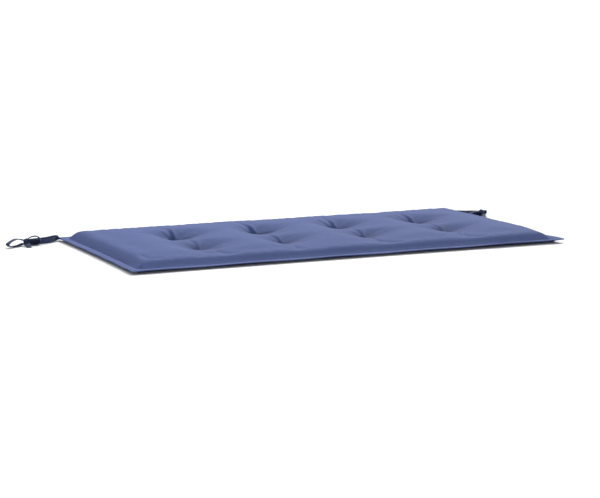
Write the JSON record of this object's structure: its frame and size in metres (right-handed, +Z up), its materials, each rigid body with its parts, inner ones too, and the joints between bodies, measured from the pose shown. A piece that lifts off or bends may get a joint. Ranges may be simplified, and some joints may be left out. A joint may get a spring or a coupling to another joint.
{
  "type": "bench cushion",
  "caption": "Long, flat, tufted bench seat cushion with a flat sewn rim and a tape tie in a bow at each back corner.",
  "frame": {"origin": "on the surface that the cushion lies on, under the middle of the cushion", "axes": "+X along the cushion's length to the right, +Y from the front edge to the back edge with the ties, +Z up out of the tufted side"},
  "size_m": [1.2244, 0.5092, 0.0313],
  "materials": {
    "woven_cover": "plain-woven blue polyester cover, matt with a soft sheen, sewn over a thin fibre filling",
    "tie_tape": "narrow woven tape in a darker blue, matt"
  },
  "bodies": {
    "root": {"cushion": "woven_cover", "tie_left_front_strand": "tie_tape", "tie_left_back_strand": "tie_tape", "tie_left_knot": "tie_tape", "tie_left_long_loop": "tie_tape", "tie_left_short_loop": "tie_tape", "tie_left_front_end": "tie_tape", "tie_left_back_end": "tie_tape", "tie_right_front_strand": "tie_tape", "tie_right_back_strand": "tie_tape", "tie_right_knot": "tie_tape", "tie_right_long_loop": "tie_tape", "tie_right_short_loop": "tie_tape", "tie_right_front_end": "tie_tape", "tie_right_back_end": "tie_tape"}
  },
  "joints": []
}
